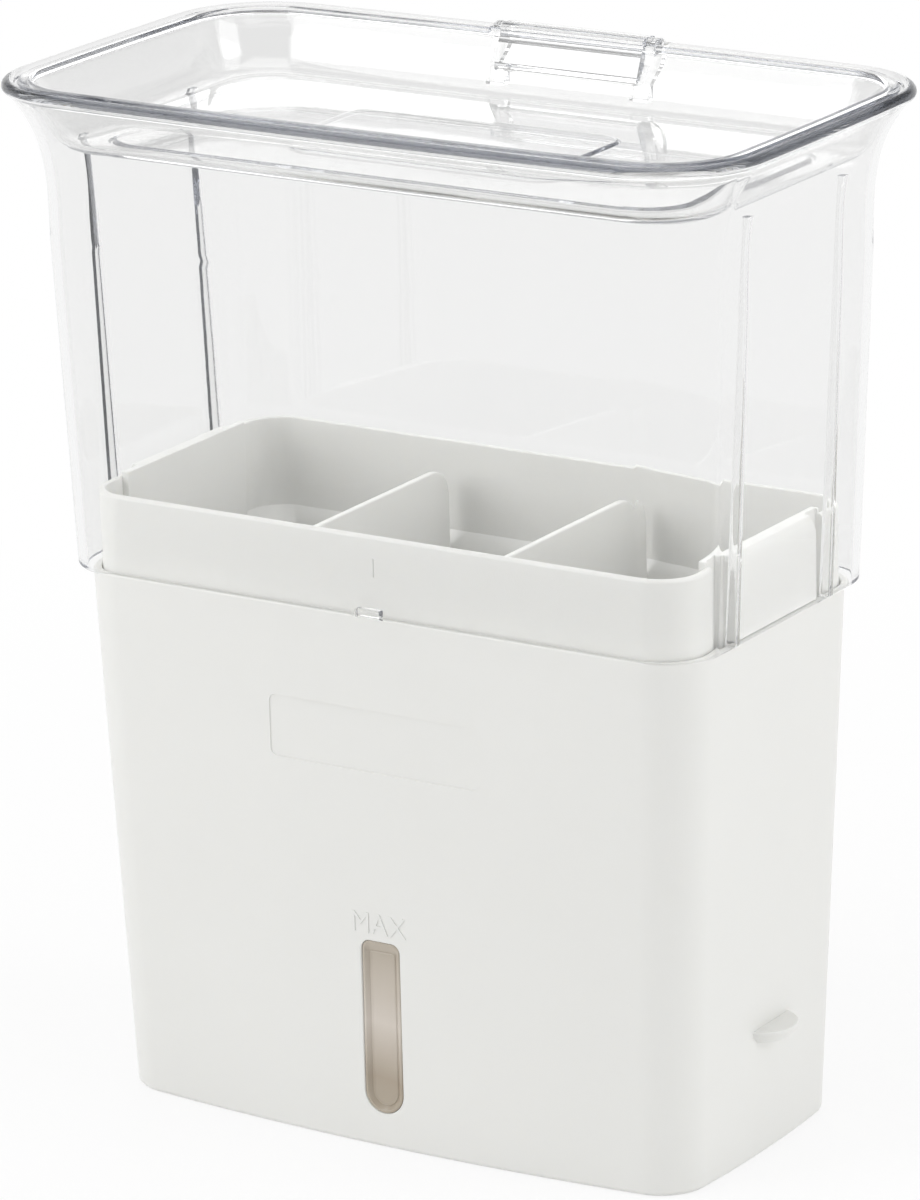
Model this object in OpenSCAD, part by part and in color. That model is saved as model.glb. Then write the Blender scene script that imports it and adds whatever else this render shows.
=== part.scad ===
// Herb keeper: a water tub with a level window, a lift-out basket with two dividers,
// and a tall clear cover whose recessed lid is hinged at the back.

/* [Tub] */
// Half length of the tub at its foot
tub_foot_x = 87.4; // [80:0.1:90]
// Half depth of the tub at the ends of its foot
tub_foot_y = 41; // [36:0.1:43]
// Half length of the tub at its top edge
tub_top_x = 93.85; // [92:0.1:96]
// Half depth of the tub at its top edge
tub_top_y = 46.9; // [45:0.1:48]
// Height of the tub's top edge
tub_h = 147.6; // [130:0.1:160]
// Corner radius at the foot
tub_foot_r = 11; // [6:0.5:14]
// Corner radius at the top edge
tub_top_r = 14; // [10:0.5:18]
// How far the long faces bulge at the foot
foot_bulge_y = 5.2; // [0:0.1:6]
// How far the end faces bulge at the foot
foot_bulge_x = 2; // [0:0.1:3]
// Wall thickness of the tub
tub_wall = 2.3; // [1.8:0.1:3]
// Width of the thumb tab on each end
tab_w = 20; // [10:1:30]
// How far the thumb tab stands out
tab_out = 6; // [3:0.5:8]

/* [Level window] */
// Width of the slot for the window
slot_w = 11.8; // [8:0.1:16]
// Height of the bottom of the slot
slot_low = 9.9; // [7:0.1:15]
// Height of the top of the slot
slot_high = 58; // [40:0.5:70]

/* [Basket] */
// Half length of the basket's band
band_x = 91.15; // [90:0.05:91.3]
// Half depth of the basket's band
band_y = 44.2; // [43:0.05:44.3]
// Height of the band's top edge
band_top = 168.9; // [160:0.1:175]
// Height of the underside of the basket's floor
basket_floor = 20; // [14:0.5:30]
// Wall thickness of the basket
basket_wall = 1.8; // [1.4:0.1:2.2]
// Distance of each divider from the middle
divider_x = 29.4; // [24:0.1:34]
// Thickness of a divider
divider_t = 1.8; // [1.2:0.1:2]

/* [Cover] */
// Half length of the skirt's lower edge
skirt_x = 97.2; // [96.5:0.1:99]
// Half depth of the skirt's lower edge
skirt_y = 49.7; // [49:0.1:51]
// Half length where the flare begins
neck_x = 100.7; // [100:0.1:102]
// Half depth where the flare begins
neck_y = 53.3; // [53:0.1:54]
// Height where the flare begins
neck_z = 237; // [230:1:240]
// Half length of the rim
rim_x = 111.5; // [111:0.1:112]
// Half depth of the rim
rim_y = 63.35; // [63:0.05:63.6]
// Height of the rim's top
rim_z = 280; // [279.9:0.1:280.1]
// Corner radius of the rim
rim_r = 27; // [26:0.5:28]
// Wall thickness of the cover
cover_wall = 2.3; // [2:0.1:2.4]
// Width of the rim's flat top
rim_band = 3.4; // [3:0.1:3.6]
// Distance of the guide ribs from the middle of each end
rib_y = 24.4; // [23.5:0.1:26]
// Width of a guide rib
rib_w = 2.4; // [1.6:0.1:3]

/* [Lid] */
// Gap round the lid inside the rim
lid_gap = 0.8; // [0.7:0.05:0.9]
// Width of the lid's flange
flange_w = 4; // [3.5:0.1:4.5]
// Height of the underside of the tray
tray_low = 262; // [261:0.5:264]
// Thickness of the tray's walls
tray_wall = 2; // [1.6:0.1:2.2]
// Half length of the raised panel in the tray
panel_x = 41; // [30:1:60]
// Half depth of the raised panel in the tray
panel_y = 30; // [20:1:36]

/* [Hinge] */
// Half length of the lid's knuckle
knuckle_x = 22; // [15:0.5:24]
// Radius of the knuckle
knuckle_r = 2.6; // [2.4:0.1:2.8]
// Distance of the hinge axis behind the middle
axis_y = 62.9; // [62.8:0.05:63]
// Height of the hinge axis
axis_z = 278.7; // [278.6:0.05:278.8]
// Radius of the hinge pin
pin_r = 1.25; // [1:0.05:1.3]
// Thickness of each hinge ear
ear_t = 2.7; // [2:0.1:4]

/* [Hidden] */
$fn = 64;
round_steps = 8;
long_steps = 6;
short_steps = 4;
play = 0.3;
far = 400;
white = "#E9E9E5";
clear = [0.86, 0.88, 0.88, 0.35];
smoke = [0.62, 0.58, 0.52, 0.6];
foot_round = 1.6;
edge_round = 0.8;
floor_t = 3;
floor_round = 4;
tub_lip = 0.3;
tub_lip_h = 0.5;
tab_top = 36.6;
tab_t = 3.6;
tab_y = 1.5;
tab_root = 4;
tab_edge = 1.4;
slot_depth = 10;
plug_gap = 0.1;
plug_front = -46.15;
plug_back = -43.2;
flange_back = -41.6;
seal_front = -43.75;
seal_lap = 3;
dish_lip = 1.9;
dish_depth = 1;
top_corner_r = 2.5;
band_low = 143;
band_r = 11.6;
band_round = 1;
band_lip = 0.5;
waist_z = 139;
waist_r = 10.4;
waist_inset = 3.2;
waist_step = 0.8;
foot_inset = 9.1;
basket_foot_y = 36;
basket_foot_r = 9;
basket_round = 3;
basket_inner_round = 2;
channel_low = 20.9;
channel_high = 26.9;
channel_floor = 89;
channel_drop = 8;
end_face = 87.3;
end_t = 2.4;
end_lap = 0.9;
end_rise = 1;
grip_x = 93;
grip_low = 147.8;
grip_edge = 166.6;
grip_top = 170.3;
grip_slope = 3.4;
grip_gap = 0.2;
guide_w = 1.4;
guide_reach = 2.2;
guide_root = 0.6;
guide_low = 24;
slide_gap = 0.2;
drain_w = 3;
drain_l = 22;
drain_y = 15;
drain_reach = 72;
drain_pitch = 9;
drain_clear = 4;
leg_r = 4;
leg_x = 70;
leg_y = 24;
divider_top = 163;
divider_low = 23;
divider_gap = 0.6;
divider_r = 8;
skirt_low = 147.9;
skirt_r = 15.2;
skirt_round = 0.4;
neck_r = 17.3;
bulge_x = 1;
bulge_y = 1.9;
lip_h = 2.7;
lip_out = 0.8;
flare_power = 3.5;
flare_growth = 0.32;
flare_steps = 10;
rib_deep = 3.2;
rib_taper = 1.6;
rib_root = 0.8;
rib_top = 261;
stop_half = 3.7;
stop_y = 45.2;
stop_high = 150;
flange_t = 2.2;
tray_neck = 268;
tray_neck_x = 101;
tray_neck_y = 53.3;
tray_neck_r = 19.5;
tray_round = 6;
panel_h = 0.5;
panel_r = 8;
ear_gap = 0.3;
ear_r = 5;
ear_y = 61.7;
ear_z = 276.2;
ear_front = 59.4;
ear_relief = 0.6;
ear_foot = [[56.2, 266.6], [58.6, 265.4], [59.6, 268.6], [64.2, 272.2], [62, 277], [59.9, 275.6],
            [57.6, 271]];
knuckle_back = [[60.4, 275.2], [58.8, 270.2], [55.4, 269.6], [54.6, 271]];
notch_low = 269;
notch_y = 40;
bore_play = 0.06;

// A section is [z, half length, half depth, corner radius, end bulge, face bulge].
function mix(a, b, t) = a + (b - a) * t;
function mixed(a, b, t) = [for (i = [0:len(a) - 1]) mix(a[i], b[i], t)];
function inset(s, d) = [s[0], s[1] - d, s[2] - d, max(s[3] - d, 1), s[4], s[5]];
function at_z(s, z) = [z, s[1], s[2], s[3], s[4], s[5]];

// One corner of a section, turned by quarter turns
function corner(s, q) =
    let (cx = (q == 0 || q == 3 ? 1 : -1) * (s[1] - s[3]))
    let (cy = (q < 2 ? 1 : -1) * (s[2] - s[3]))
    [for (k = [0:round_steps]) let (a = 90 * (q + k / round_steps))
        [cx + s[3] * cos(a), cy + s[3] * sin(a)]];

// The points between two corners
function between(a, b, n) = [for (k = [1:n - 1]) mixed(a, b, k / n)];

function plain_outline(s) = [for (q = [0:3])
    let (here = corner(s, q))
    let (next = corner(s, (q + 1) % 4))
    each concat(here, between(here[round_steps], next[0], q % 2 == 0 ? long_steps : short_steps))];

function bulged(p, s) =
    let (fx = max(0, 1 - pow(p.x / s[1], 2)) * abs(p.y) / s[2])
    let (fy = max(0, 1 - pow(p.y / s[2], 2)) * abs(p.x) / s[1])
    [p.x + sign(p.x) * s[4] * fy, p.y + sign(p.y) * s[5] * fx, s[0]];

function outline(s) = [for (p = plain_outline(s)) bulged(p, s)];

// A skin through a stack of sections, closed by end faces or joined into a sleeve
module skin(sections, sleeve = false) {
    rings = [for (s = sections) outline(s)];
    m = len(rings);
    n = len(rings[0]);
    steps = sleeve ? m : m - 1;
    sides = [for (i = [0:steps - 1]) for (j = [0:n - 1])
        let (a = i * n + j)
        let (b = i * n + (j + 1) % n)
        let (c = ((i + 1) % m) * n + (j + 1) % n)
        let (d = ((i + 1) % m) * n + j)
        each [[a, d, c], [a, c, b]]];
    middles = [[0, 0, sections[0][0]], [0, 0, sections[m - 1][0]]];
    ends = sleeve ? [] : [for (j = [0:n - 1])
        let (k = (j + 1) % n)
        each [[j, k, m * n], [(m - 1) * n + k, (m - 1) * n + j, m * n + 1]]];
    points = concat([for (r = rings) each r], sleeve ? [] : middles);
    polyhedron(points = points, faces = concat(sides, ends), convexity = 8);
}

// Runs a profile drawn in Y and Z along X, between two stations
module along_x(x0, x1) {
    translate([x0, 0, 0]) rotate([90, 0, 90]) linear_extrude(x1 - x0) children();
}

// Runs a profile drawn in X and Z along Y, between two stations
module along_y(y0, y1) {
    translate([0, y1, 0]) rotate([90, 0, 0]) linear_extrude(y1 - y0) children();
}

module both_ends() {
    children();
    mirror([1, 0, 0]) children();
}

module four_ways() {
    both_ends() {
        children();
        mirror([0, 1, 0]) children();
    }
}

tub_foot = [0, tub_foot_x, tub_foot_y, tub_foot_r, foot_bulge_x, foot_bulge_y];
tub_edge = [tub_h, tub_top_x, tub_top_y, tub_top_r, 0, 0];

function tub_at(z, d) = at_z(inset(mixed(tub_foot, tub_edge, z / tub_h), d), z);

// The slot's outline in X and Z: round at the bottom, small radii at the top
module slot_shape(grow) {
    r = slot_w / 2 + grow;
    c = top_corner_r + grow;
    top = slot_high + grow;
    low = slot_low + slot_w / 2;
    translate([0, low]) circle(r);
    translate([-r, low]) square([2 * r, top - c - low]);
    translate([-(r - c), top - c]) square([2 * (r - c), c]);
    for (side = [-1, 1]) translate([side * (r - c), top - c]) circle(c);
}

// Half ellipse whose underside slopes up towards its tip
module thumb_tab() {
    reach = tab_out + tab_root;
    low = tab_top - tab_t;
    tip = tub_foot_x + reach;
    plan = [for (a = [-90:7.5:90]) [reach * cos(a), tab_w / 2 * sin(a)]];
    side = [[tub_foot_x, low], [tub_foot_x + tab_root, low], [tip, tab_top - tab_edge],
            [tip, tab_top], [tub_foot_x, tab_top]];
    intersection() {
        translate([tub_foot_x, tab_y, low]) linear_extrude(tab_t) polygon(plan);
        along_y(-tab_w, tab_w) polygon(side);
    }
}

module water_tub() {
    outer_foot = [for (a = [0:30:90]) tub_at(foot_round * (1 - cos(a)), foot_round * (1 - sin(a)))];
    faces = [for (k = [1:3]) tub_at(tub_h * k / 4, 0)];
    edge = [for (a = [0:45:90]) tub_at(tub_h - edge_round * (1 - sin(a)), edge_round * (1 - cos(a)))];
    lip = [tub_at(tub_h, tub_wall - tub_lip), tub_at(tub_h - tub_lip_h, tub_wall)];
    inside = [for (k = [3:-1:1]) tub_at(tub_h * k / 4, tub_wall)];
    inner_foot = [for (a = [0:30:90])
        tub_at(floor_t + floor_round * (1 - sin(a)), tub_wall + floor_round * (1 - cos(a)))];
    color(white) {
        difference() {
            skin(concat(outer_foot, faces, edge, lip, inside, inner_foot));
            along_y(plug_back - slot_depth, plug_back + slot_depth) slot_shape(0);
        }
        both_ends() thumb_tab();
    }
}

module level_window() {
    color(smoke) {
        difference() {
            along_y(plug_front, plug_back) slot_shape(-plug_gap);
            along_y(plug_front - 1, plug_front + dish_depth) slot_shape(-dish_lip);
        }
        along_y(plug_back, flange_back) slot_shape(seal_lap);
    }
}

module window_seal() {
    color("#4A4A48") difference() {
        along_y(seal_front, plug_back) slot_shape(seal_lap);
        along_y(seal_front - 1, plug_back + 1) slot_shape(play);
    }
}

basket_foot = [basket_floor, band_x - foot_inset, basket_foot_y, basket_foot_r, 0, 0];
basket_waist = [waist_z, band_x - waist_inset, band_y - waist_inset, waist_r, 0, 0];
basket_band = [band_low, band_x, band_y, band_r, 0, 0];

function basket_share(z) = (z - basket_floor) / (waist_z - basket_floor);
function basket_at(z, d) = at_z(inset(mixed(basket_foot, basket_waist, basket_share(z)), d), z);

// Inner face of the basket's long wall at a height
function basket_face(z) = basket_at(z, basket_wall)[2];

// Flat wall behind the channels, and the grip panel between them with its sloped top
module end_wall() {
    half = channel_high + end_lap;
    height = grip_top - waist_z - end_rise;
    root = band_x - 0.1;
    side = [[end_face, waist_z + 2], [root, band_low + 2], [root, grip_low], [grip_x, grip_low],
            [grip_x, grip_edge], [grip_x - grip_slope, grip_top], [end_face, grip_top]];
    translate([end_face, -half, waist_z + end_rise]) cube([end_t, 2 * half, height]);
    along_y(-channel_low + grip_gap, channel_low - grip_gap) polygon(side);
}

// Two upright ribs on the long wall that hold a divider between them
module guide_pair() {
    low_y = basket_face(guide_low);
    high_y = basket_face(waist_z);
    side = [[low_y + guide_root, guide_low], [high_y + guide_root, waist_z],
            [high_y - guide_reach, waist_z], [low_y - guide_reach, guide_low]];
    for (turn = [-1, 1]) {
        near = divider_x + turn * (divider_t / 2 + slide_gap + guide_w / 2);
        along_x(near - guide_w / 2, near + guide_w / 2) polygon(side);
    }
}

module drain_slots() {
    row = [-drain_reach:drain_pitch:drain_reach];
    places = [for (x = row) if (abs(abs(x) - divider_x) > drain_clear) x];
    for (x = places) for (y = [-drain_y, drain_y])
        translate([x - drain_w / 2, y - drain_l / 2, basket_floor - 1]) cube([drain_w, drain_l, 6]);
}

module herb_basket() {
    foot = [for (a = [0:45:90])
        basket_at(basket_floor + basket_round * (1 - cos(a)), basket_round * (1 - sin(a)))];
    band = [basket_at(waist_z, 0), basket_band, at_z(basket_band, band_top - band_round)];
    edge = [for (a = [45, 90])
        at_z(inset(basket_band, band_round * (1 - cos(a))), band_top - band_round * (1 - sin(a)))];
    lining = inset(basket_band, basket_wall);
    lip = [at_z(inset(basket_band, basket_wall - band_lip), band_top), at_z(lining, band_top - band_lip)];
    inner_band = [at_z(lining, band_low + waist_step), basket_at(waist_z + waist_step, basket_wall)];
    inner_foot = [for (a = [0:45:90])
        basket_at(basket_floor + basket_wall + basket_inner_round * (1 - sin(a)),
                  basket_wall + basket_inner_round * (1 - cos(a)))];
    color(white) difference() {
        union() {
            skin(concat(foot, band, edge, lip, inner_band, inner_foot));
            both_ends() end_wall();
            four_ways() guide_pair();
            four_ways() translate([leg_x, leg_y, floor_t + play])
                cylinder(r = leg_r, h = basket_floor - floor_t + 1);
        }
        four_ways() translate([channel_floor, channel_low, tub_h - channel_drop])
            cube([far, channel_high - channel_low, far]);
        drain_slots();
    }
}

// Plate that follows the taper of the basket, with two round top corners
module divider() {
    low = basket_face(divider_low + 2) - divider_gap;
    high = basket_face(waist_z) - divider_gap;
    shoulder = divider_top - divider_r;
    middle = high - divider_r;
    side = [[-low, divider_low], [low, divider_low], [high, waist_z], [high, shoulder],
            [-high, shoulder], [-high, waist_z]];
    color(white) along_x(divider_x - divider_t / 2, divider_x + divider_t / 2) {
        polygon(side);
        translate([-middle, shoulder - 1]) square([2 * middle, divider_r + 1]);
        for (turn = [-1, 1]) translate([turn * middle, shoulder]) circle(divider_r);
    }
}

module left_divider() {
    mirror([1, 0, 0]) divider();
}

module right_divider() {
    divider();
}

skirt_edge = [skirt_low, skirt_x, skirt_y, skirt_r, 0, 0];
neck = [neck_z, neck_x, neck_y, neck_r, 0, 0];
rim = [rim_z, rim_x, rim_y, rim_r, bulge_x, bulge_y];
lip_z = rim_z - lip_h;
pin_half = knuckle_x + ear_gap + ear_t;

flare_end = 1 - lip_out / (rim_x - neck_x);

function flare_share(z) = z < neck_z ? 0 : flare_end * pow((z - neck_z) / (lip_z - neck_z), flare_power);
function skirt_share(z) = (z - skirt_low) / (neck_z - skirt_low);
function cover_at(z) = z < neck_z
    ? at_z(mixed(skirt_edge, neck, skirt_share(z)), z)
    : at_z(mixed(neck, rim, flare_share(z)), z);
function cover_inner(z) = inset(cover_at(z), cover_wall * (1 + flare_growth * flare_share(z)));

// Upright rib inside each end wall, a little deeper at its foot
module guide_rib() {
    levels = [skirt_low, 170, neck_z, 250, rib_top];
    faces = [for (z = levels) [cover_inner(z)[1] + rib_root, z]];
    edges = [for (k = [len(levels) - 1:-1:0])
        let (t = (levels[k] - skirt_low) / (rib_top - skirt_low))
        [cover_inner(levels[k])[1] - rib_deep + rib_taper * t, levels[k]]];
    along_y(rib_y - rib_w / 2, rib_y + rib_w / 2) polygon(concat(faces, edges));
}

// Rests the cover on the tub's edge, at the front and at the back
module stop() {
    translate([-stop_half, stop_y, skirt_low])
        cube([2 * stop_half, skirt_y - stop_y - 1, stop_high - skirt_low]);
}

// A rod along the hinge axis
module on_axis(half, r) {
    translate([-half, axis_y, axis_z]) rotate([0, 90, 0]) cylinder(r = r, h = 2 * half);
}

// Blind at both ends, inside the ears
module pin_bore() {
    on_axis(pin_half + play, pin_r + bore_play);
}

// D-shaped ear beside the knuckle, with a foot that runs down the back of the wall
module ear_shape() {
    intersection() {
        translate([ear_y, ear_z]) circle(ear_r);
        translate([ear_front, 0]) square([far, far]);
    }
    polygon(ear_foot);
}

module clear_cover() {
    levels = [for (k = [1:flare_steps]) mix(neck_z, lip_z, k / flare_steps)];
    half = knuckle_x + ear_gap;
    wall = [inset(skirt_edge, skirt_round), at_z(skirt_edge, skirt_low + skirt_round), neck];
    flare = [for (z = levels) cover_at(z)];
    lip = [at_z(inset(rim, 0.3), lip_z + 0.3), at_z(rim, lip_z + 1), at_z(rim, rim_z - 0.7),
           at_z(inset(rim, 0.7), rim_z)];
    mouth = [inset(rim, rim_band - 0.3), at_z(inset(rim, rim_band), rim_z - 0.5),
             at_z(inset(rim, rim_band + 0.2), rim_z - 1.6)];
    inner_flare = [for (k = [flare_steps - 1:-1:0]) cover_inner(levels[k])];
    lining = [cover_inner(neck_z), inset(skirt_edge, cover_wall)];
    color(clear) {
        difference() {
            union() {
                difference() {
                    skin(concat(wall, flare, lip, mouth, inner_flare, lining), sleeve = true);
                    translate([-half, notch_y, notch_low]) cube([2 * half, notch_y, far]);
                }
                both_ends() along_x(half, half + ear_t) ear_shape();
            }
            pin_bore();
        }
        four_ways() guide_rib();
        stop();
        rotate([0, 0, 180]) stop();
    }
}

tray_top = inset(rim, rim_band + lid_gap + flange_w - tray_wall);
tray_waist = [tray_neck, tray_neck_x, tray_neck_y, tray_neck_r, 0.4, 0.8];
tray_lift = rim_z - flange_t;
function tray_share(z) = (z - tray_neck) / (rim_z - tray_neck);
function tray_at(z, d) = at_z(inset(mixed(tray_waist, tray_top, tray_share(z)), d), z);

// Round bar with a web that runs down the back of the tray
module knuckle() {
    web = concat([[57.2, rim_z - 3], [58, rim_z + 0.7], [59.6, axis_z + knuckle_r],
                  [axis_y, axis_z + knuckle_r], [axis_y, axis_z - knuckle_r]], knuckle_back);
    along_x(-knuckle_x, knuckle_x) {
        translate([axis_y, axis_z]) circle(knuckle_r);
        polygon(web);
    }
}

module lid_tray() {
    flange = inset(rim, rim_band + lid_gap);
    mouth = inset(flange, flange_w);
    inner_round = tray_round - tray_wall;
    tray_floor = tray_low + tray_wall;
    relief = [ear_t + 2 * ear_gap + ear_relief, 10, 10];
    foot = [for (a = [0:22.5:90])
        tray_at(tray_low + tray_round * (1 - cos(a)), tray_round * (1 - sin(a)))];
    wall = [tray_at(tray_lift - 3, 0), tray_at(tray_lift, 0.2)];
    edge = [at_z(inset(flange, 0.9), tray_lift), at_z(inset(flange, 0.1), tray_lift + 0.8),
            at_z(flange, rim_z - 0.6), inset(flange, 0.6)];
    lining = [inset(mouth, -0.5), at_z(mouth, rim_z - 0.5), tray_at(rim_z - 2, tray_wall)];
    inner_foot = [for (a = [0:22.5:90])
        tray_at(tray_floor + inner_round * (1 - sin(a)), tray_wall + inner_round * (1 - cos(a)))];
    raised = [for (h = [0, panel_h]) [tray_floor + h, panel_x - h, panel_y - h, panel_r, 0, 0]];
    color(clear) difference() {
        union() {
            difference() {
                skin(concat(foot, wall, edge, lining, inner_foot, raised));
                both_ends() translate([knuckle_x, ear_front - ear_relief, tray_lift - 2]) cube(relief);
            }
            knuckle();
        }
        pin_bore();
    }
}

module hinge_pin() {
    color(clear) on_axis(pin_half, pin_r);
}

water_tub();
level_window();
window_seal();
herb_basket();
left_divider();
right_divider();
clear_cover();
lid_tray();
hinge_pin();
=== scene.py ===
from math import copysign, cos, pi, radians, sin

import bmesh
import bpy
from mathutils import Matrix, Vector


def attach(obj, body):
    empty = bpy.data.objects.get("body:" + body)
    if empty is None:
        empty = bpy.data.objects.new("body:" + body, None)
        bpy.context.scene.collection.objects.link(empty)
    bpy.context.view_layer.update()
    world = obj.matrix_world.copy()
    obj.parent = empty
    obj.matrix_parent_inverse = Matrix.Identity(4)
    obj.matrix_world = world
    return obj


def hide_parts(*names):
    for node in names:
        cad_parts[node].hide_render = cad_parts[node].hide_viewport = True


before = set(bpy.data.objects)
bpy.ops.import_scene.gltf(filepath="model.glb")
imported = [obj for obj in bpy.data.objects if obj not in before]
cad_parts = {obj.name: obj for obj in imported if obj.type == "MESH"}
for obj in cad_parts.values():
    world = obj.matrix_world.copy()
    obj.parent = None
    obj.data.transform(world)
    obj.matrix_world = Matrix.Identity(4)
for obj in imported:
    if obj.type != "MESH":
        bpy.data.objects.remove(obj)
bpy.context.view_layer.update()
mm = 0.001
print("frame loaded")


# A section is (height, half length, half depth, corner radius, end bulge, face bulge) in mm.

ringSteps = {"corner": 14, "long": 22, "short": 10}


def mixSection(low, high, share):
    return tuple(a + (b - a) * share for a, b in zip(low, high))


def insetSection(section, depth):
    height, halfX, halfY, radius, bulgeX, bulgeY = section
    return (height, halfX - depth, halfY - depth, max(radius - depth, 1), bulgeX, bulgeY)


def atHeight(section, height):
    return (height,) + tuple(section[1:])


def bulgedPlace(x, y, section):
    height, halfX, halfY, _, bulgeX, bulgeY = section
    outX = max(0, 1 - (y / halfY) ** 2) * abs(x) / halfX * bulgeX
    outY = max(0, 1 - (x / halfX) ** 2) * abs(y) / halfY * bulgeY
    return Vector((x + copysign(outX, x), y + copysign(outY, y), height)) * mm


def ringPlaces(section):
    _, halfX, halfY, radius, _, _ = section
    corners = []
    for quarter in range(4):
        centre = Vector(((halfX - radius) * (1 if quarter in (0, 3) else -1),
                         (halfY - radius) * (1 if quarter < 2 else -1)))
        turns = [pi / 2 * (quarter + k / ringSteps["corner"]) for k in range(ringSteps["corner"] + 1)]
        corners.append([centre + Vector((cos(a), sin(a))) * radius for a in turns])
    flat = []
    for quarter in range(4):
        ahead = corners[(quarter + 1) % 4][0]
        steps = ringSteps["long" if quarter % 2 == 0 else "short"]
        flat += corners[quarter]
        flat += [corners[quarter][-1].lerp(ahead, k / steps) for k in range(1, steps)]
    return [bulgedPlace(p.x, p.y, section) for p in flat]


def extrudeRing(bm, ring, places):
    # extrudes a closed ring of vertices and moves the new ring to its places
    edges = [bm.edges.get((a, b)) for a, b in zip(ring, ring[1:] + ring[:1])]
    made = bmesh.ops.extrude_edge_only(bm, edges=edges)["geom"]
    fresh = {v for v in made if isinstance(v, bmesh.types.BMVert)}
    ahead = [next(e.other_vert(v) for e in v.link_edges if e.other_vert(v) in fresh) for v in ring]
    for vert, place in zip(ahead, places):
        vert.co = place
    return ahead


def startRing(bm, places):
    ring = [bm.verts.new(p) for p in places]
    for a, b in zip(ring, ring[1:] + ring[:1]):
        bm.edges.new((a, b))
    return ring


def loftRings(rings, sleeve=False):
    # a skin through rings of places, capped at both ends or closed on itself
    bm = bmesh.new()
    first = startRing(bm, rings[0])
    ring = first
    for places in rings[1:]:
        ring = extrudeRing(bm, ring, places)
    if sleeve:
        loops = [bm.edges.get((a, b)) for r in (first, ring) for a, b in zip(r, r[1:] + r[:1])]
        bmesh.ops.bridge_loops(bm, edges=loops)
    else:
        bm.faces.new(first)
        bm.faces.new(ring)
    bmesh.ops.recalc_face_normals(bm, faces=bm.faces)
    return bm


def loftSections(sections, sleeve=False):
    return loftRings([ringPlaces(s) for s in sections], sleeve)


def arcSteps(count, start=0, end=90):
    return [radians(start + (end - start) * k / count) for k in range(count + 1)]


def spread(low, high, count):
    # evenly spaced values between two others, without them
    return [low + (high - low) * k / count for k in range(1, count)]


def makePiece(name, bm, creaseAngle=38):
    bmesh.ops.remove_doubles(bm, verts=bm.verts, dist=1e-7)
    for face in bm.faces:
        face.smooth = True
    for edge in bm.edges:
        edge.smooth = edge.calc_face_angle(0) < radians(creaseAngle)
    mesh = bpy.data.meshes.new(name)
    bm.to_mesh(mesh)
    bm.free()
    piece = bpy.data.objects.new(name, mesh)
    bpy.context.scene.collection.objects.link(piece)
    return piece


def shapeWith(piece, tools, operation, creaseAngle=38):
    # cuts tools out of a piece, or joins them to it, and leaves one clean mesh
    for tool in tools:
        step = piece.modifiers.new(tool.name, "BOOLEAN")
        step.operation = operation
        step.solver = "EXACT"
        step.object = tool
    bpy.context.view_layer.update()
    shaped = piece.evaluated_get(bpy.context.evaluated_depsgraph_get())
    bm = bmesh.new()
    bm.from_mesh(bpy.data.meshes.new_from_object(shaped))
    name = piece.name
    for old in [piece] + tools:
        bpy.data.objects.remove(old)
    bmesh.ops.dissolve_degenerate(bm, edges=bm.edges, dist=2e-6)
    return makePiece(name, bm, creaseAngle)


def boxMesh(low, high, edge=0, segments=3, upright=False):
    # a block between two corners in mm, with its edges rounded, or only its upright ones
    bm = bmesh.new()
    bmesh.ops.create_cube(bm, size=1)
    size = [b - a for a, b in zip(low, high)]
    middle = [(a + b) / 2 for a, b in zip(low, high)]
    bmesh.ops.scale(bm, verts=bm.verts, vec=Vector(size) * mm)
    bmesh.ops.translate(bm, verts=bm.verts, vec=Vector(middle) * mm)
    if edge:
        picked = [e for e in bm.edges
                  if not upright or abs(e.verts[0].co.z - e.verts[1].co.z) > 1e-6]
        bmesh.ops.bevel(bm, geom=picked, offset=edge * mm, affect="EDGES", segments=segments,
                        profile=0.5, material=-1)
    return bm


def prismMesh(outline, start, end, along="x", edge=0, segments=3):
    # a plate between two stations, from an outline in mm: (y, z) along x, (x, z) along y
    bm = bmesh.new()
    if along == "x":
        places = [Vector((start, u, v)) for u, v in outline]
        step = Vector((end - start, 0, 0))
    else:
        places = [Vector((u, start, v)) for u, v in outline]
        step = Vector((0, end - start, 0))
    face = bm.faces.new([bm.verts.new(p * mm) for p in places])
    made = bmesh.ops.extrude_face_region(bm, geom=[face])["geom"]
    moved = [v for v in made if isinstance(v, bmesh.types.BMVert)]
    bmesh.ops.translate(bm, verts=moved, vec=step * mm)
    bmesh.ops.recalc_face_normals(bm, faces=bm.faces)
    if edge:
        sharp = [e for e in bm.edges if e.calc_face_angle(0) > radians(50)]
        bmesh.ops.bevel(bm, geom=sharp, offset=edge * mm, affect="EDGES", segments=segments,
                        profile=0.5, material=-1)
    return bm


def mirrored(bm, axes="x"):
    copy = bm.copy()
    flip = Vector((-1 if "x" in axes else 1, -1 if "y" in axes else 1, 1))
    bmesh.ops.scale(copy, verts=copy.verts, vec=flip)
    if len(axes) == 1:
        bmesh.ops.reverse_faces(copy, faces=copy.faces)
    return copy


def fourWays(name, bm):
    meshes = [bm, mirrored(bm, "x"), mirrored(bm, "y"), mirrored(bm, "xy")]
    return [makePiece(f"{name}{k}", m) for k, m in enumerate(meshes)]


def finishPiece(piece, body, slot, material, *nodes):
    piece.data.materials.clear()
    piece.data.materials.append(material)
    evenShade = piece.modifiers.new("evenShade", "WEIGHTED_NORMAL")
    evenShade.keep_sharp = True
    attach(piece, body)
    if nodes:
        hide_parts(*nodes)
    return piece


def newSocket(group, name, side, kind="NodeSocketFloat", value=None):
    socket = group.interface.new_socket(name=name, in_out=side, socket_type=kind)
    if value is not None:
        socket.default_value = value
    return socket


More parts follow.
